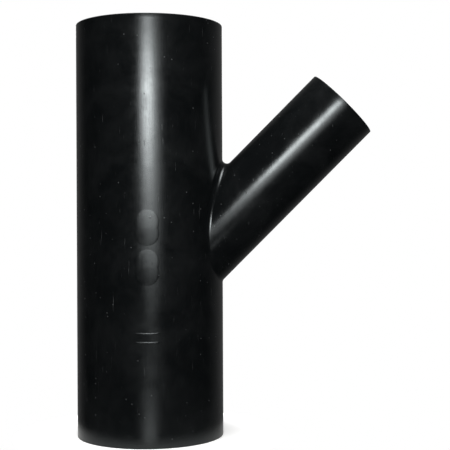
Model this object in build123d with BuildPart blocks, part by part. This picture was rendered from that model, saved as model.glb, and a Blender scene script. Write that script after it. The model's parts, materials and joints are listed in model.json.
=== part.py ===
"""Lateral wye fitting in black polyethylene: a straight 75 mm run with a 40 mm branch leaving it at 45 degrees.

One injection-moulded piece, open at its three plain spigot ends, which are butt-welded or sleeved onto pipe.
Frame: +Z along the run, origin at the centre of the run's lower end face, and the branch rising towards +X.
"""

import os
from math import cos, radians, sin

from build123d import *

# ---- Driving dimensions, in millimetres and degrees ------------------------------------------------------------
run_od = 75.0
branch_od = 40.0
wall = 3.0
module = 70.0  # lower end to the crossing of the two axes; the other lengths are multiples of it
branch_angle = 45.0  # between the run's axis and the branch's

crotch_radius = 2.5  # outer blend where the two tubes meet
bore_edge_radius = 1.2  # rounding where the two bores meet
rim_radius = 0.3  # broken edge of each spigot

# Marking area on the run, left blank: two pads, each the outline of two discs, and two rules under them
marks_turn = 6.0  # how far round from the front, towards the branch
pad_disc_radius = 6.0
pad_disc_spacing = 5.4
pad_pitch = 19.2
upper_pad_height = 106.6  # of the upper pad's centre
pad_crown = 0.2  # how far a pad stands proud at its middle
rule_length = 12.0
rule_width = 0.8
rule_pitch = 4.3
upper_rule_height = 55.6
rule_thickness = 0.25
mark_root = 1.0  # how far the marks reach into the wall

# ---- Derived dimensions ------------------------------------------------------------------------------------------
run_radius = run_od / 2
branch_radius = branch_od / 2
run_length = 3 * module
branch_reach = 2 * module
pad_half_height = pad_disc_spacing / 2 + pad_disc_radius
pad_centres = [upper_pad_height - i * pad_pitch for i in range(2)]
rule_centres = [upper_rule_height - i * rule_pitch for i in range(2)]

axes_cross = Vector(0, 0, module)
branch_direction = Vector(sin(radians(branch_angle)), 0, cos(radians(branch_angle)))
branch_start = Plane(origin=axes_cross, x_dir=(0, 1, 0), z_dir=branch_direction)
branch_end = branch_start.offset(branch_reach)

# The marking area's plane stands on the run's axis: local y runs up the run, and its normal points out of the marks
mark_side = Vector(cos(radians(marks_turn)), sin(radians(marks_turn)), 0)
mark_normal = Vector(sin(radians(marks_turn)), -cos(radians(marks_turn)), 0)
marking_area = Plane(origin=(0, 0, 0), x_dir=mark_side, z_dir=mark_normal)


# ---- Pads: a slightly crowned ring, cut down to the outline of two overlapping discs ------------------------------
with BuildPart() as pads:
    with BuildSketch(Plane.XZ):
        for height in pad_centres:
            with BuildLine():
                crown = ThreePointArc(
                    (run_radius, height - pad_half_height),
                    (run_radius + pad_crown, height),
                    (run_radius, height + pad_half_height),
                )
                Polyline(
                    crown @ 1,
                    (run_radius - mark_root, height + pad_half_height),
                    (run_radius - mark_root, height - pad_half_height),
                    crown @ 0,
                )
            make_face()
    revolve(axis=Axis.Z)
    with BuildSketch(marking_area):
        for height in pad_centres:
            with Locations((0, height - pad_disc_spacing / 2), (0, height + pad_disc_spacing / 2)):
                Circle(pad_disc_radius)
    extrude(amount=run_od, mode=Mode.INTERSECT)


# ---- Rules: two short raised bars with rounded ends ---------------------------------------------------------------
with BuildPart() as rules:
    with BuildSketch(marking_area):
        with Locations([(0, height) for height in rule_centres]):
            SlotOverall(rule_length, rule_width)
    extrude(amount=run_od)
    with BuildSketch(Plane.XY):
        Circle(run_radius + rule_thickness)
        Circle(run_radius - mark_root, mode=Mode.SUBTRACT)
    extrude(amount=run_length, mode=Mode.INTERSECT)


# ---- The wye -----------------------------------------------------------------------------------------------------
with BuildPart() as wye:
    # Outsides of the run and of the branch
    with BuildSketch(Plane.XY):
        Circle(run_radius)
    extrude(amount=run_length)
    with BuildSketch(branch_start):
        Circle(branch_radius)
    extrude(amount=branch_reach)

    # The two tubes blend all round where they meet
    crotch = wye.edges().filter_by(GeomType.BSPLINE)
    fillet(crotch, radius=crotch_radius)

    # Marks
    add(pads.part)
    add(rules.part)

    # Bores, with a rounded edge where they meet
    with Locations(Plane.XY.offset(run_length)):
        Hole(radius=run_radius - wall)
    with Locations(branch_end):
        Hole(radius=branch_radius - wall, depth=branch_reach)
    bore_edge = wye.edges(Select.LAST).filter_by(GeomType.CIRCLE, reverse=True)
    fillet(bore_edge, radius=bore_edge_radius)

    # Broken outer edge on each of the three ends
    ends = [
        wye.faces().sort_by(Axis.Z)[0],
        wye.faces().sort_by(Axis.Z)[-1],
        wye.faces().sort_by(Axis(axes_cross, branch_direction))[-1],
    ]
    fillet([end.outer_wire().edge() for end in ends], radius=rim_radius)

wye.part.label = "wye_body"
os.makedirs("parts", exist_ok=True)
export_step(wye.part, "parts/wye_body.step")

print("volume", round(wye.part.volume), "mm3, centre of mass", wye.part.center(CenterOf.MASS))
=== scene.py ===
"""Looks and stage of a lateral wye fitting moulded in black polyethylene."""

import json
from math import atan2, cos, pi, radians, sin

import bpy
from mathutils import Euler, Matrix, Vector


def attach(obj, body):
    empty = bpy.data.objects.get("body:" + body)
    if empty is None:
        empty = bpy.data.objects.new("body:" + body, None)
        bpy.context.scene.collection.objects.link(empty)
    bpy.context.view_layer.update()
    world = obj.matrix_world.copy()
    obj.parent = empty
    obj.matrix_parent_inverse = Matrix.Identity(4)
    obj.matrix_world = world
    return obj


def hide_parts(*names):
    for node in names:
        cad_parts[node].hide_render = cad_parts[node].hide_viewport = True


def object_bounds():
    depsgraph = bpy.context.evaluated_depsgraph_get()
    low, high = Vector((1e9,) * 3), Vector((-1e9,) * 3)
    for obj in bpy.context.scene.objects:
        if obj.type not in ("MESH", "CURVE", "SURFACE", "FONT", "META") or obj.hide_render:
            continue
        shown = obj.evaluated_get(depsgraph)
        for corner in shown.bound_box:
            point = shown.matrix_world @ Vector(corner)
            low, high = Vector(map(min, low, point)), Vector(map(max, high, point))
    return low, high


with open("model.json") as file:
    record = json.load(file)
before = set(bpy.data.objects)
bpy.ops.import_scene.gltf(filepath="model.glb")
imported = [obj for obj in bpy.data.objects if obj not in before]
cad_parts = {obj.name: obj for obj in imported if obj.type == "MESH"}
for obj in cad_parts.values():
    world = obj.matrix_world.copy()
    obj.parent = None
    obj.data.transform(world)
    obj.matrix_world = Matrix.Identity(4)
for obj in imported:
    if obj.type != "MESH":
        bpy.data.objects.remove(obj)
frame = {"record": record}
CAD_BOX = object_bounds()

MM = 0.001
BODY = "root"  # a part with no joints has this one body
NODE = "wye_body"
PLASTIC = "black_polyethylene_moulded"

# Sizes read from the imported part: the box, and the bores of the run and the branch
MOUNTS = {mount["name"]: mount for mount in frame["record"]["mounts"]}
RUN_RADIUS = -CAD_BOX[0][0]
RUN_LENGTH = CAD_BOX[1][2]
WALL = RUN_RADIUS - MOUNTS["run_bore"]["dims"]["r_mm"] * MM
BRANCH_RADIUS = MOUNTS["branch_bore"]["dims"]["r_mm"] * MM + WALL
BRANCH_END = Vector(MOUNTS["branch_bore"]["pos_m"])
BRANCH_AXIS = Vector(MOUNTS["branch_bore"]["axis"])
LEAN = atan2(BRANCH_AXIS.x, BRANCH_AXIS.z)
REACH = BRANCH_END.x / sin(LEAN)
CROSSING = BRANCH_END.z - REACH * cos(LEAN)

# How the moulding's mesh is laid out
COLUMNS = 320  # once round the branch
OUTER_ROWS = dict(run_rows=56, blend_rows=12, branch_rows=36)
INNER_ROWS = dict(run_rows=40, blend_rows=8, branch_rows=24)
END_ROWS = 8
END_SHARE = 0.25  # of the columns' way round, for each half of the run's end
RUN_ROW_SPREAD = 1.6  # above 1, the run's rows are closer beside the branch
RIM_SHARE = 0.75  # of an end's rows, for its rounded edge
SEAM_WIDTH = 0.005 * MM
SHARP_ANGLE = radians(50)

# The moulding's waves: their pattern, and how far they keep from the run's ends
WAVE_SEED = 3.0
WAVE_FREE_END = 4 * MM

# How a mark's mesh is laid out, and what makes a pad or a rule of it
MARK_MESH = dict(columns=64, rows=32)
PAD_SHAPE = dict(taper=2.0, squareness=0.2, upright=1.0)
RULE_SHAPE = dict(taper=12.0, squareness=1.0, upright=0.0)
ALMOST_NOTHING = 1e-5  # a sine or cosine below this counts as 0, so that a mark's section closes

# Plastic
POLYETHYLENE_IOR = 1.53
BUMP_STEP = 0.01 * MM  # the unit of the heights in its bump

# Lamps: name, place, width and height, and how bright the middle is
LAMPS = (
    ("key_lamp", (0.045, -0.52, 0.226), (0.3, 0.2), 21.0),  # the bright streak on the upper half
    ("wide_lamp", (0.095, -0.52, 0.19), (0.42, 0.44), 4.2),  # its faint surroundings and lower end
    ("low_lamp", (0.065, -0.516, -0.13), (0.34, 0.2), 2.9),  # below the table's edge: the streak at the foot
    ("top_lamp", (0.0, -0.21, 1.3), (1.2, 1.2), 12.0),  # from above, for what faces up
)
LAMP_FADE = 3.0  # a higher power fades a lamp sooner from its middle

# World: how bright the room behind looks in gloss, and the even light on matt surfaces
ROOM_LEVEL = 0.12
ROOM_START = 0.2  # where that room begins, from 0 to the side to 1 straight behind
EVEN_LIGHT = 0.3

TABLE_GLOW = 0.5  # a share of white that the camera sees in the table even in full shadow
TABLE_CORNERS = 128
SENSOR_WIDTH_MM = 36.0

bl_info = {
    "name": "Lateral wye fitting",
    "version": (1, 0, 0),
    "blender": (4, 5, 0),
    "location": "View3D > Sidebar > Wye",
    "description": "Moulded black lateral wye fitting and a plain stage for it",
    "category": "Add Mesh",
}


# ---- Small helpers ----------------------------------------------------------------------------------
def hex_to_linear(code):
    """Linear RGB of an sRGB colour written as #RRGGBB."""
    channels = [int(code[i : i + 2], 16) / 255 for i in (1, 3, 5)]
    return tuple(c / 12.92 if c <= 0.04045 else ((c + 0.055) / 1.055) ** 2.4 for c in channels)


def add_node(tree, kind, links=None, **settings):
    """Add a node, set its own properties, then set or link its inputs.

    links maps an input's name or index to a value, to the socket or Term that feeds it, or to a list of
    sockets where the input takes several.
    """
    node = tree.nodes.new(kind)
    for name, value in settings.items():
        setattr(node, name, value)
    for key, value in (links or {}).items():
        value = value.value if isinstance(value, Term) else value
        if isinstance(value, bpy.types.NodeSocket):
            tree.links.new(value, node.inputs[key])
        elif isinstance(value, list):
            for socket in reversed(value):
                tree.links.new(socket, node.inputs[key])
        else:
            node.inputs[key].default_value = value
    return node


def empty_tree(owner):
    """Turn on the nodes of a material, lamp or world, and return its tree without any node."""
    owner.use_nodes = True
    owner.node_tree.nodes.clear()
    return owner.node_tree


def length(name, description, default):
    """A property that holds a length."""
    return bpy.props.FloatProperty(name=name, description=description, default=default, unit="LENGTH")


def angle(name, description, default):
    """A property that holds an angle."""
    return bpy.props.FloatProperty(name=name, description=description, default=default, subtype="ANGLE")


def colour(name, description, code):
    """A property that holds a colour, written as #RRGGBB."""
    return bpy.props.FloatVectorProperty(
        name=name, description=description, subtype="COLOR", size=3, default=hex_to_linear(code)
    )


def values_of(settings):
    """The values in a PropertyGroup, by name."""
    return {name: getattr(settings, name) for name in settings.__annotations__}


# ---- Settings ---------------------------------------------------------------------------------------
class WYE_PG_body(bpy.types.PropertyGroup):
    """Sizes of the moulding."""

    run_radius: length("Run radius", "Outer radius of the run", RUN_RADIUS)
    branch_radius: length("Branch radius", "Outer radius of the branch", BRANCH_RADIUS)
    wall: length("Wall", "Thickness of both tubes' walls", WALL)
    run_length: length("Run length", "Length of the run", RUN_LENGTH)
    crossing: length("Crossing", "Height at which the branch's axis meets the run's", CROSSING)
    reach: length("Reach", "Length of the branch along its axis, from the run's axis", REACH)
    lean: angle("Lean", "Angle from the run's axis to the branch's", LEAN)
    crotch: length("Crotch radius", "Rounding outside, where the tubes meet", 2.5 * MM)
    bore_edge: length("Bore edge radius", "Rounding inside, where the bores meet", 1.2 * MM)
    rim: length("Rim radius", "Rounding of each end's outer edge", 0.3 * MM)
    wave_height: length("Wave height", "How far the skin sinks at most", 0.06 * MM)
    wave_length: length("Wave length", "Distance from one wave to the next", 34 * MM)


class WYE_PG_marks(bpy.types.PropertyGroup):
    """Marking area on the run, left blank: two pads, each the outline of two discs, over two rules."""

    turn: angle("Turn", "How far round from the front the marks stand, towards the branch", radians(6))
    pad_disc_radius: length("Disc radius", "Radius of a pad's two discs", 6 * MM)
    pad_disc_spacing: length("Disc spacing", "Distance between the middles of a pad's discs", 5.4 * MM)
    pad_pitch: length("Pad pitch", "Distance from one pad to the next", 19.2 * MM)
    upper_pad_height: length("Upper pad", "Height of the upper pad's middle", 106.6 * MM)
    pad_crown: length("Pad crown", "How far a pad stands proud at its middle", 0.2 * MM)
    rule_length: length("Rule length", "Length of a rule", 12 * MM)
    rule_width: length("Rule width", "Width of a rule", 0.8 * MM)
    rule_pitch: length("Rule pitch", "Distance from one rule to the next", 4.3 * MM)
    upper_rule_height: length("Upper rule", "Height of the upper rule's middle", 55.6 * MM)
    rule_thickness: length("Rule thickness", "How far a rule stands proud", 0.25 * MM)


class WYE_PG_finish(bpy.types.PropertyGroup):
    """Colours and surface of the moulded polyethylene."""

    plastic: colour("Plastic", "Colour of the carbon-black polyethylene", "#0E1011")
    dust: colour("Dust", "Colour of the dust in rubbed places, specks and scratches", "#A9ACAD")
    sheen: colour("Sheen", "Faint tint of what the surface mirrors", "#F3FBFC")
    roughness: bpy.props.FloatProperty(
        name="Roughness",
        description="Roughness of the moulded surface between its marks of handling",
        default=0.17,
        min=0.0,
        max=1.0,
    )


class WYE_PG_stage(bpy.types.PropertyGroup):
    """Camera and table."""

    camera_azimuth: angle(
        "Camera azimuth", "How far the camera stands round from the front, towards the branch", radians(8.4)
    )
    camera_distance: length("Camera distance", "Level distance from the run's axis to the camera", 0.5464)
    camera_height: length("Camera height", "Height of the camera above the table", 0.1096)
    aim: bpy.props.FloatVectorProperty(
        name="Aim",
        description="Point that the camera looks at",
        default=(0.0388, 0.0, 0.1077),
        subtype="XYZ",
        unit="LENGTH",
    )
    camera_roll: angle("Camera roll", "How far the camera leans about its own axis", radians(-0.23))
    lens: bpy.props.FloatProperty(
        name="Lens", description="Focal length in millimetres on a 36 mm wide sensor", default=84.5
    )
    table_radius: length("Table radius", "Radius of the round table top", 0.07)
    table: colour("Table", "Colour of the pale table top", "#ECECEA")


# ---- Shapes as formulas -----------------------------------------------------------------------------
class Term:
    """A number inside a node tree. Arithmetic on it adds Math nodes, so a shape reads as its formula."""

    def __init__(self, tree, value):
        self.tree = tree
        self.value = value

    def then(self, operation, *others, clamp=False):
        """Apply a Math node's operation to this term and the others."""
        links = dict(enumerate((self, *others)))
        node = add_node(self.tree, "ShaderNodeMath", links, operation=operation, use_clamp=clamp)
        return Term(self.tree, node.outputs[0])

    def __add__(self, other):
        return self.then("ADD", other)

    def __sub__(self, other):
        return self.then("SUBTRACT", other)

    def __rsub__(self, other):
        return Term(self.tree, other).then("SUBTRACT", self)

    def __mul__(self, other):
        return self.then("MULTIPLY", other)

    def __truediv__(self, other):
        return self.then("DIVIDE", other)

    def __neg__(self):
        return self.then("MULTIPLY", -1.0)

    __radd__ = __add__
    __rmul__ = __mul__

    def share(self, start, end):
        """How far this term has come from start to end: 0 before start, 1 after end."""
        return (self - start).then("DIVIDE", end - start, clamp=True)


def new_group(name, sizes, counts=()):
    """A Geometry Nodes group with an input for each size and count, and those inputs by name."""
    tree = bpy.data.node_groups.new(name, "GeometryNodeTree")
    tree.interface.new_socket("Geometry", in_out="OUTPUT", socket_type="NodeSocketGeometry")
    names = (*sizes, *counts)
    for size in names:
        kind = "NodeSocketInt" if size in counts else "NodeSocketFloat"
        tree.interface.new_socket(size, in_out="INPUT", socket_type=kind)
    outputs = add_node(tree, "NodeGroupInput").outputs
    return tree, {size: Term(tree, outputs[size]) for size in names}


def finish_piece(tree, geometry, material):
    """Send a whole piece out of its group, as one real mesh of one material."""
    real = add_node(tree, "GeometryNodeRealizeInstances", {"Geometry": geometry}).outputs[0]
    coated = add_node(tree, "GeometryNodeSetMaterial", {"Geometry": real, "Material": material}).outputs[0]
    add_node(tree, "NodeGroupOutput", {"Geometry": coated})
    return tree


def patch(tree, columns, rows, x, y, z):
    """A grid of columns by rows faces, moved to the places that the formulas x, y and z give."""
    links = {"Size X": 2.0, "Size Y": 1.0, "Vertices X": columns + 1, "Vertices Y": rows + 1}
    grid = add_node(tree, "GeometryNodeMeshGrid", links).outputs["Mesh"]
    place = add_node(tree, "ShaderNodeCombineXYZ", {"X": x, "Y": y, "Z": z}).outputs[0]
    return add_node(tree, "GeometryNodeSetPosition", {"Geometry": grid, "Position": place}).outputs[0]


def grid_terms(tree):
    """Where a point stands on its patch's grid: -1 to 1 across its columns, and 0 to 1 up its rows."""
    position = add_node(tree, "GeometryNodeInputPosition").outputs[0]
    parts = add_node(tree, "ShaderNodeSeparateXYZ", {0: position}).outputs
    return Term(tree, parts["X"]), Term(tree, parts["Y"]) + 0.5


def side_group():
    """One side of the wye's wall, outer or inner: the run, the branch, and the rounding where they meet.

    The rounding is the skin that a ball leaves as it rolls round the branch and touches both tubes. Its
    middle is a blend radius off each of them, and the lines where it touches bound the two tubes.
    """
    sizes = ("run_radius", "branch_radius", "blend", "run_low", "run_high", "crossing", "reach", "lean")
    tree, size = new_group("wye_side", sizes, counts=("columns", *OUTER_ROWS))
    across, up = grid_terms(tree)
    run_radius, branch_radius, blend = size["run_radius"], size["branch_radius"], size["blend"]
    lean_sin, lean_cos = size["lean"].then("SINE"), size["lean"].then("COSINE")

    # Angle round the branch, 0 on its under side, and the ball's middle
    round_branch = across * pi
    branch_cos, branch_sin = round_branch.then("COSINE"), round_branch.then("SINE")
    off_branch = branch_radius + blend
    off_run = run_radius + blend
    ball_y = off_branch * branch_sin
    ball_x = (off_run * off_run - ball_y * ball_y).then("SQRT")
    along = (ball_x - off_branch * branch_cos * lean_cos) / lean_sin
    ball_z = size["crossing"] + along * lean_cos - off_branch * branch_cos * lean_sin
    round_run = ball_y.then("ARCTAN2", ball_x)

    # Run: straight lines, when it is rolled flat, from the ball's touch to the edge of its sheet
    way = across.then("ABSOLUTE")
    edge_turn = way.share(0.0, END_SHARE) - way.share(1.0 - END_SHARE, 1.0)
    edge_z = size["run_low"] + (size["run_high"] - size["run_low"]) * way.share(END_SHARE, 1.0 - END_SHARE)
    spread = up.then("POWER", RUN_ROW_SPREAD)
    turn = round_run + (edge_turn * across.then("SIGN") * pi - round_run) * spread
    run = patch(
        tree, size["columns"], size["run_rows"],
        run_radius * turn.then("COSINE"),
        run_radius * turn.then("SINE"),
        ball_z + (edge_z - ball_z) * spread,
    )

    # Branch: straight along its axis, from the ball's touch to its end
    reached = along + (size["reach"] - along) * up
    branch = patch(
        tree, size["columns"], size["branch_rows"],
        reached * lean_sin + branch_radius * branch_cos * lean_cos,
        branch_radius * branch_sin,
        size["crossing"] + reached * lean_cos - branch_radius * branch_cos * lean_sin,
    )

    # Rounding: the ball's skin, in equal steps from its touch on the run to that on the branch
    run_cos, run_sin = round_run.then("COSINE"), round_run.then("SINE")
    sweep = (run_cos * branch_cos * lean_cos + run_sin * branch_sin).then("ARCCOSINE")
    to_run = ((1.0 - up) * sweep).then("SINE") / sweep.then("SINE") * blend
    to_branch = (up * sweep).then("SINE") / sweep.then("SINE") * blend
    rounding = patch(
        tree, size["columns"], size["blend_rows"],
        ball_x - to_run * run_cos - to_branch * branch_cos * lean_cos,
        ball_y - to_run * run_sin - to_branch * branch_sin,
        ball_z + to_branch * branch_cos * lean_sin,
    )

    # The run's rows lead away from the seam as the branch's do, so its faces come out the other way
    run = add_node(tree, "GeometryNodeFlipFaces", {"Mesh": run}).outputs[0]
    joined = add_node(tree, "GeometryNodeJoinGeometry", {0: [run, branch, rounding]}).outputs[0]
    add_node(tree, "NodeGroupOutput", {"Geometry": joined})
    return tree


def end_group():
    """The end of a tube, facing up: a ring as wide as the wall, with its outer edge rounded."""
    tree, size = new_group("tube_end", ("radius", "wall", "rim", "level"), counts=("columns", "rows"))
    across, up = grid_terms(tree)
    bend = up.share(0.0, RIM_SHARE) * (pi / 2)
    flat = (size["wall"] - size["rim"]) * up.share(RIM_SHARE, 1.0)
    radius = size["radius"] - size["rim"] * (1.0 - bend.then("COSINE")) - flat
    ring = patch(
        tree, size["columns"], size["rows"],
        radius * (across * pi).then("COSINE"),
        radius * (across * pi).then("SINE"),
        size["level"] - size["rim"] * (1.0 - bend.then("SINE")),
    )
    add_node(tree, "NodeGroupOutput", {"Geometry": ring})
    return tree


def wave(tree, mesh, size):
    """Let the skin sink a little and unevenly, as cooling leaves it, but not at the run's ends."""
    position = add_node(tree, "GeometryNodeInputPosition").outputs[0]
    scale = Term(tree, 1.0) / size["wave_length"]
    noise = add_node(
        tree, "ShaderNodeTexNoise",
        {"Vector": position, "W": WAVE_SEED, "Scale": scale, "Detail": 2.0, "Roughness": 0.45},
        noise_dimensions="4D",
    ).outputs[0]
    height = Term(tree, add_node(tree, "ShaderNodeSeparateXYZ", {0: position}).outputs["Z"])
    from_top = size["run_length"] - height
    depth = Term(tree, noise) * size["wave_height"]
    depth = depth * height.share(0.0, WAVE_FREE_END) * from_top.share(0.0, WAVE_FREE_END)
    normal = add_node(tree, "GeometryNodeInputNormal").outputs[0]
    links = {0: normal, "Scale": -depth}
    offset = add_node(tree, "ShaderNodeVectorMath", links, operation="SCALE").outputs[0]
    return add_node(tree, "GeometryNodeSetPosition", {"Geometry": mesh, "Offset": offset}).outputs[0]


def body_group(sizes, material):
    """The whole moulding: its outer side, its inner side and the three ends, sewn together and waved."""
    tree, size = new_group("wye_body", sizes, counts=("columns",))
    side, end = side_group(), end_group()
    run_radius, branch_radius, run_length = size["run_radius"], size["branch_radius"], size["run_length"]
    wall, rim, columns = size["wall"], size["rim"], size["columns"]

    # Sides
    shared = dict(crossing=size["crossing"], lean=size["lean"], columns=columns)
    outer_sizes = dict(
        run_radius=run_radius, branch_radius=branch_radius, blend=size["crotch"],
        run_low=rim, run_high=run_length - rim, reach=size["reach"] - rim, **OUTER_ROWS, **shared,
    )
    inner_sizes = dict(
        run_radius=run_radius - wall, branch_radius=branch_radius - wall, blend=size["bore_edge"],
        run_low=0.0, run_high=run_length, reach=size["reach"], **INNER_ROWS, **shared,
    )
    outer = add_node(tree, "GeometryNodeGroup", outer_sizes, node_tree=side).outputs[0]
    inner = add_node(tree, "GeometryNodeGroup", inner_sizes, node_tree=side).outputs[0]
    inner = add_node(tree, "GeometryNodeFlipFaces", {"Mesh": inner}).outputs[0]

    # Ends: the run's have as many columns as the run's patch has along each end
    shared = dict(wall=wall, rim=rim, rows=END_ROWS)
    of_run = dict(radius=run_radius, columns=columns * END_SHARE, **shared)
    of_branch = dict(radius=branch_radius, columns=columns, level=size["reach"], **shared)
    top = add_node(tree, "GeometryNodeGroup", {"level": run_length, **of_run}, node_tree=end).outputs[0]
    bottom = add_node(tree, "GeometryNodeGroup", {"level": 0.0, **of_run}, node_tree=end).outputs[0]
    links = {"Geometry": bottom, "Rotation": (pi, 0.0, 0.0)}
    bottom = add_node(tree, "GeometryNodeTransform", links).outputs[0]
    tip = add_node(tree, "GeometryNodeGroup", of_branch, node_tree=end).outputs[0]
    lean = add_node(tree, "ShaderNodeCombineXYZ", {"Y": size["lean"]}).outputs[0]
    lift = add_node(tree, "ShaderNodeCombineXYZ", {"Z": size["crossing"]}).outputs[0]
    links = {"Geometry": tip, "Rotation": lean, "Translation": lift}
    tip = add_node(tree, "GeometryNodeTransform", links).outputs[0]

    joined = add_node(tree, "GeometryNodeJoinGeometry", {0: [outer, inner, top, bottom, tip]}).outputs[0]
    links = {"Geometry": joined, "Distance": SEAM_WIDTH}
    sewn = add_node(tree, "GeometryNodeMergeByDistance", links).outputs[0]
    return finish_piece(tree, wave(tree, sewn, size), material)


def mark_group():
    """One raised mark, lying on the run's front at height 0: a closed swelling, half of it sunk in the wall.

    Its outline is that of two discs of one radius, spaced along the mark. Between them, it is drawn in as
    the discs alone would have it, but no more than the waist allows: a waist of 0 leaves straight sides.
    Squareness goes from 1, a round section, towards 0, a box. With a higher taper, the mark keeps its rise
    until nearer its ends.
    """
    sizes = (
        "run_radius", "turn", "disc_radius", "disc_spacing", "waist",
        "rise", "taper", "squareness", "upright",
    )
    tree, size = new_group("raised_mark", sizes, counts=("columns", "rows"))
    across, up = grid_terms(tree)
    disc_radius, half_spacing = size["disc_radius"], size["disc_spacing"] / 2.0
    share_along = (across * (pi / 2)).then("SINE")
    along = share_along * (half_spacing + disc_radius)
    past_disc = (along.then("ABSOLUTE") - half_spacing).then("MAXIMUM", -size["waist"])
    half_width = (disc_radius * disc_radius - past_disc * past_disc).then("MAXIMUM", 0.0).then("SQRT")
    rise = size["rise"] * (1.0 - share_along.then("ABSOLUTE").then("POWER", size["taper"]))

    def squared(term):
        """A sine or cosine, drawn towards -1 or 1."""
        amount = (term.then("ABSOLUTE") - ALMOST_NOTHING).then("MAXIMUM", 0.0)
        return amount.then("POWER", size["squareness"]) * term.then("SIGN")

    round_section = up * (2 * pi)
    aside = half_width * squared(round_section.then("SINE"))
    radius = size["run_radius"] + rise * squared(round_section.then("COSINE"))

    # Upright, the mark's length runs up the run; otherwise, it runs round it
    level = 1.0 - size["upright"]
    round_run = (aside * size["upright"] + along * level) / size["run_radius"] + size["turn"]
    skin = patch(
        tree, size["columns"], size["rows"],
        radius * round_run.then("SINE"),
        -(radius * round_run.then("COSINE")),
        along * size["upright"] - aside * level,
    )
    links = {"Geometry": skin, "Distance": SEAM_WIDTH}
    sewn = add_node(tree, "GeometryNodeMergeByDistance", links).outputs[0]
    turned = add_node(tree, "GeometryNodeFlipFaces", {"Mesh": sewn}).outputs[0]
    add_node(tree, "NodeGroupOutput", {"Geometry": turned})
    return tree


def marks_group(sizes, material):
    """The marking area: a column of two pads and a column of two rules."""
    tree, size = new_group("wye_marks", sizes)
    mark = mark_group()

    def column(top, pitch, **values):
        """Two marks, one a pitch below the other."""
        links = {"run_radius": size["run_radius"], "turn": size["turn"], **MARK_MESH, **values}
        shape = add_node(tree, "GeometryNodeGroup", links, node_tree=mark).outputs[0]
        start = add_node(tree, "ShaderNodeCombineXYZ", {"Z": top}).outputs[0]
        step = add_node(tree, "ShaderNodeCombineXYZ", {"Z": -pitch}).outputs[0]
        links = {"Count": 2, "Start Location": start, "Offset": step}
        points = add_node(tree, "GeometryNodeMeshLine", links).outputs[0]
        links = {"Points": points, "Instance": shape}
        return add_node(tree, "GeometryNodeInstanceOnPoints", links).outputs[0]

    pads = column(
        size["upper_pad_height"], size["pad_pitch"],
        disc_radius=size["pad_disc_radius"], disc_spacing=size["pad_disc_spacing"],
        waist=size["pad_disc_spacing"], rise=size["pad_crown"], **PAD_SHAPE,
    )
    rules = column(
        size["upper_rule_height"], size["rule_pitch"],
        disc_radius=size["rule_width"] / 2.0, disc_spacing=size["rule_length"] - size["rule_width"],
        waist=0.0, rise=size["rule_thickness"], **RULE_SHAPE,
    )
    joined = add_node(tree, "GeometryNodeJoinGeometry", {0: [pads, rules]}).outputs[0]
    return finish_piece(tree, joined, material)


def make_piece(name, group, values):
    """Run a Geometry Nodes group once with these values, and keep its result as a plain mesh object."""
    piece = bpy.data.objects.new(name, bpy.data.meshes.new(name))
    bpy.context.scene.collection.objects.link(piece)
    modifier = piece.modifiers.new(name, "NODES")
    modifier.node_group = group
    for socket in group.interface.items_tree:
        if socket.in_out == "INPUT":
            modifier[socket.identifier] = values[socket.name]
    evaluated = piece.evaluated_get(bpy.context.evaluated_depsgraph_get())
    mesh = bpy.data.meshes.new_from_object(evaluated)
    if not mesh.polygons:
        raise RuntimeError(f"{name} came out empty")
    piece.modifiers.remove(modifier)
    piece.data = mesh
    mesh.name = name
    mesh.shade_smooth()
    mesh.set_sharp_from_angle(angle=SHARP_ANGLE)
    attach(piece, BODY)
    return piece


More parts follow.
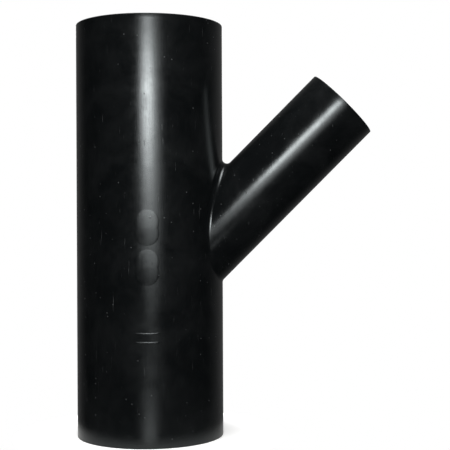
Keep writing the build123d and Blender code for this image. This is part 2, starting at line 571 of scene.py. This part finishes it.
# ---- Materials --------------------------------------------------------------------------------------
def moulded_polyethylene(finish):
    """Carbon-black polyethylene as it leaves the mould, a little handled.

    The eye sees a nearly black body under a satin skin. Its highlight is broken by uneven gloss, by a fine
    grain drawn along the run and by specks, and rubbed places look hazy where they catch no lamp.
    Every piece has this one material, made when the first one asks for it.
    """
    if PLASTIC in bpy.data.materials:
        return bpy.data.materials[PLASTIC]
    material = bpy.data.materials.new(PLASTIC)
    tree = empty_tree(material)
    place = add_node(tree, "ShaderNodeTexCoord").outputs["Object"]

    # Uneven gloss: patches where the skin cooled against the mould at another pace
    links = {"Vector": place, "Scale": 1 / (7 * MM), "Detail": 4.0, "Roughness": 0.65}
    noise = add_node(tree, "ShaderNodeTexNoise", links).outputs[0]
    patches = Term(tree, noise) - 0.5

    # Grain: marks drawn along the run as the core was pulled, a third of a millimetre wide
    links = {0: place, 1: (0.35 * MM, 0.35 * MM, 9 * MM)}
    drawn = add_node(tree, "ShaderNodeVectorMath", links, operation="DIVIDE").outputs[0]
    links = {"Vector": drawn, "Scale": 1.0, "Detail": 2.0, "Roughness": 0.6}
    noise = add_node(tree, "ShaderNodeTexNoise", links).outputs[0]
    grain = Term(tree, noise).share(0.35, 0.75)

    # Scratches: the few deepest of longer and wider marks
    links = {0: place, 1: (0.9 * MM, 0.9 * MM, 16 * MM)}
    drawn = add_node(tree, "ShaderNodeVectorMath", links, operation="DIVIDE").outputs[0]
    links = {"Vector": drawn, "Scale": 1.0, "Detail": 3.0, "Roughness": 0.7}
    noise = add_node(tree, "ShaderNodeTexNoise", links).outputs[0]
    scratches = Term(tree, noise).share(0.68, 0.76)

    # Rubbed places: hazy clouds a few centimetres wide, with a pattern of their own inside
    links = {"Vector": place, "Scale": 1 / (26 * MM), "Detail": 5.0, "Roughness": 0.7, "Distortion": 0.4}
    noise = add_node(tree, "ShaderNodeTexNoise", links).outputs[0]
    rubbed = Term(tree, noise).share(0.42, 0.7)

    # Specks: dust and nicks a few tenths of a millimetre wide, in one cell out of several
    cells = add_node(tree, "ShaderNodeTexVoronoi", {"Vector": place, "Scale": 1 / (3.2 * MM)})
    chance = add_node(tree, "ShaderNodeSeparateColor", {0: cells.outputs["Color"]}).outputs[0]
    near = 1.0 - Term(tree, cells.outputs["Distance"]).share(0.03, 0.14)
    specks = near * Term(tree, chance).share(0.72, 0.78)

    # What each of them adds to the dust, the roughness and the height in bump steps
    dust = rubbed * 0.014 + specks * 0.16 + scratches * 0.1
    roughness = patches * 0.2 + rubbed * 0.05 + grain * 0.05 + scratches * 0.15 + specks * 0.2
    height = grain * 0.5 + scratches * -2.0 + specks * 2.0 + patches * 3.0

    # A Mix node of colours has its two colours at 6 and 7, and its result at 2
    links = {0: dust, 6: (*finish.plastic, 1.0), 7: (*finish.dust, 1.0)}
    dusty = add_node(tree, "ShaderNodeMix", links, data_type="RGBA").outputs[2]
    links = {"Height": height, "Strength": 1.0, "Distance": BUMP_STEP}
    bump = add_node(tree, "ShaderNodeBump", links).outputs[0]
    shader = add_node(
        tree, "ShaderNodeBsdfPrincipled",
        {
            "Base Color": dusty,
            "Roughness": roughness + finish.roughness,
            "IOR": POLYETHYLENE_IOR,
            "Specular Tint": (*finish.sheen, 1.0),
            "Normal": bump,
        },
    ).outputs[0]
    add_node(tree, "ShaderNodeOutputMaterial", {"Surface": shader})
    return material


def white_laminate(stage, foot_radius):
    """A matt white table top that fades out towards its edge.

    The eye sees the object's soft shadow at its foot, and beyond that plain white. What the object mirrors
    of the table, and the light that comes back from it, fades out towards the edge as well.
    """
    material = bpy.data.materials.new("white_laminate")
    tree = empty_tree(material)
    camera = Term(tree, add_node(tree, "ShaderNodeLightPath").outputs["Is Camera Ray"])
    place = add_node(tree, "ShaderNodeTexCoord").outputs["Object"]
    away = add_node(tree, "ShaderNodeVectorMath", {0: place}, operation="LENGTH").outputs["Value"]
    links = {"Value": away, "From Min": foot_radius, "From Max": stage.table_radius}
    faded = add_node(tree, "ShaderNodeMapRange", links, interpolation_type="SMOOTHSTEP").outputs["Result"]
    faded = Term(tree, faded)
    glow = camera * (faded * (1.0 - TABLE_GLOW) + TABLE_GLOW)
    gone = (1.0 - camera) * faded
    matt = add_node(tree, "ShaderNodeBsdfDiffuse", {"Color": (*stage.table, 1.0)}).outputs[0]
    light = add_node(tree, "ShaderNodeEmission", {"Strength": glow}).outputs[0]
    seen = add_node(tree, "ShaderNodeAddShader", {0: matt, 1: light}).outputs[0]
    clear = add_node(tree, "ShaderNodeBsdfTransparent").outputs[0]
    surface = add_node(tree, "ShaderNodeMixShader", {0: gone, 1: seen, 2: clear}).outputs[0]
    add_node(tree, "ShaderNodeOutputMaterial", {"Surface": surface})
    return material


# ---- Stage ------------------------------------------------------------------------------------------
def add_camera(stage):
    """The camera, level with the middle of the fitting and a little round towards the branch."""
    data = bpy.data.cameras.new("camera")
    data.sensor_width = SENSOR_WIDTH_MM
    data.lens = stage.lens
    camera = bpy.data.objects.new("camera", data)
    camera.location = (
        stage.camera_distance * sin(stage.camera_azimuth),
        -stage.camera_distance * cos(stage.camera_azimuth),
        stage.camera_height,
    )
    turn = (Vector(stage.aim) - camera.location).to_track_quat("-Z", "Y")
    camera.rotation_euler = (turn @ Euler((0, 0, stage.camera_roll)).to_quaternion()).to_euler()
    bpy.context.scene.collection.objects.link(camera)
    bpy.context.scene.camera = camera


def add_soft_lamp(name, place, size, peak, target):
    """A soft oval lamp at a place, turned to a target: peak bright in its middle and fading to its edge."""
    data = bpy.data.lights.new(name, "AREA")
    data.shape = "ELLIPSE"
    data.size, data.size_y = size
    area = pi / 4 * size[0] * size[1]
    data.energy = peak * pi * area
    tree = empty_tree(data)
    spot = add_node(tree, "ShaderNodeNewGeometry").outputs["Parametric"]
    links = {0: spot, 1: (0.5, 0.5, 0.0)}
    from_middle = add_node(tree, "ShaderNodeVectorMath", links, operation="DISTANCE").outputs["Value"]
    share_out = Term(tree, from_middle) * 2.0
    fade = (1.0 - share_out * share_out).share(0.0, 1.0).then("POWER", LAMP_FADE)
    emission = add_node(tree, "ShaderNodeEmission", {"Strength": fade}).outputs[0]
    add_node(tree, "ShaderNodeOutputLight", {"Surface": emission})
    lamp = bpy.data.objects.new(name, data)
    lamp.location = place
    lamp.rotation_euler = (lamp.location - target).to_track_quat("Z", "Y").to_euler()
    lamp.visible_camera = False
    bpy.context.scene.collection.objects.link(lamp)


def set_world():
    """A room that is white to the camera, and in gloss is pale behind the fitting and dark before it."""
    world = bpy.data.worlds.new("studio")
    tree = empty_tree(world)
    path = add_node(tree, "ShaderNodeLightPath").outputs
    camera, gloss, glass = (
        Term(tree, path[kind]) for kind in ("Is Camera Ray", "Is Glossy Ray", "Is Transmission Ray")
    )
    direction = add_node(tree, "ShaderNodeTexCoord").outputs["Generated"]
    behind = add_node(tree, "ShaderNodeSeparateXYZ", {0: direction}).outputs["Y"]
    links = {"Value": behind, "From Min": ROOM_START, "From Max": 1.0, "To Max": ROOM_LEVEL}
    room = add_node(tree, "ShaderNodeMapRange", links, interpolation_type="SMOOTHSTEP").outputs["Result"]
    seen = (camera + gloss + glass).share(0.0, 1.0)
    level = camera + (seen - camera) * Term(tree, room) + (1.0 - seen) * EVEN_LIGHT
    links = {"Color": (1.0, 1.0, 1.0, 1.0), "Strength": level}
    background = add_node(tree, "ShaderNodeBackground", links).outputs[0]
    add_node(tree, "ShaderNodeOutputWorld", {"Surface": background})
    world.cycles.sampling_method = "NONE"
    bpy.context.scene.world = world


def add_table(stage, foot_radius):
    """The round table top that the fitting stands on."""
    bpy.ops.mesh.primitive_circle_add(radius=stage.table_radius, fill_type="NGON", vertices=TABLE_CORNERS)
    table = bpy.context.object
    table.name = table.data.name = "table_top"
    table.data.materials.append(white_laminate(stage, foot_radius))


# ---- Operators --------------------------------------------------------------------------------------
class WYE_OT_body(bpy.types.Operator):
    """Make the moulded body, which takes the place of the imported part's node"""

    bl_idname = "wye.body"
    bl_label = "Make body"

    def execute(self, context):
        sizes = values_of(context.scene.wye_body)
        group = body_group(sizes, moulded_polyethylene(context.scene.wye_finish))
        body = make_piece("wye_moulding", group, {**sizes, "columns": COLUMNS})
        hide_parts(NODE)
        return {"FINISHED"}


class WYE_OT_marks(bpy.types.Operator):
    """Make the blank pads and rules on the front of the run"""

    bl_idname = "wye.marks"
    bl_label = "Make marks"

    def execute(self, context):
        scene = context.scene
        sizes = {"run_radius": scene.wye_body.run_radius, **values_of(scene.wye_marks)}
        group = marks_group(sizes, moulded_polyethylene(scene.wye_finish))
        make_piece("wye_marks", group, sizes)
        return {"FINISHED"}


class WYE_OT_stage(bpy.types.Operator):
    """Set the camera, the lamps, the world and the table top"""

    bl_idname = "wye.stage"
    bl_label = "Set stage"

    def execute(self, context):
        scene = context.scene
        add_camera(scene.wye_stage)
        middle = Vector((0.0, 0.0, scene.wye_body.run_length / 2))
        for name, place, size, peak in LAMPS:
            add_soft_lamp(name, place, size, peak, middle)
        set_world()
        add_table(scene.wye_stage, scene.wye_body.run_radius)
        scene.view_settings.view_transform = "Standard"
        return {"FINISHED"}


class WYE_PT_panel(bpy.types.Panel):
    """Settings and steps of the wye fitting"""

    bl_idname = "WYE_PT_panel"
    bl_label = "Wye fitting"
    bl_space_type = "VIEW_3D"
    bl_region_type = "UI"
    bl_category = "Wye"

    def draw(self, context):
        for name in GROUPS:
            box = self.layout.box()
            settings = getattr(context.scene, name)
            for setting in settings.__annotations__:
                box.prop(settings, setting)
        for operator in OPERATORS:
            self.layout.operator(operator.bl_idname)


GROUPS = {
    "wye_body": WYE_PG_body,
    "wye_marks": WYE_PG_marks,
    "wye_finish": WYE_PG_finish,
    "wye_stage": WYE_PG_stage,
}
OPERATORS = (WYE_OT_body, WYE_OT_marks, WYE_OT_stage)
CLASSES = (*GROUPS.values(), *OPERATORS, WYE_PT_panel)


def register():
    """Make Blender know the classes, and give each scene its settings."""
    for cls in CLASSES:
        bpy.utils.register_class(cls)
    for name, group in GROUPS.items():
        setattr(bpy.types.Scene, name, bpy.props.PointerProperty(type=group))


def unregister():
    """Take away what register added."""
    for name in GROUPS:
        delattr(bpy.types.Scene, name)
    for cls in reversed(CLASSES):
        bpy.utils.unregister_class(cls)


def main():
    """Make everything."""
    register()
    bpy.ops.wye.body()
    bpy.ops.wye.marks()
    bpy.ops.wye.stage()


if __name__ == "__main__":
    main()
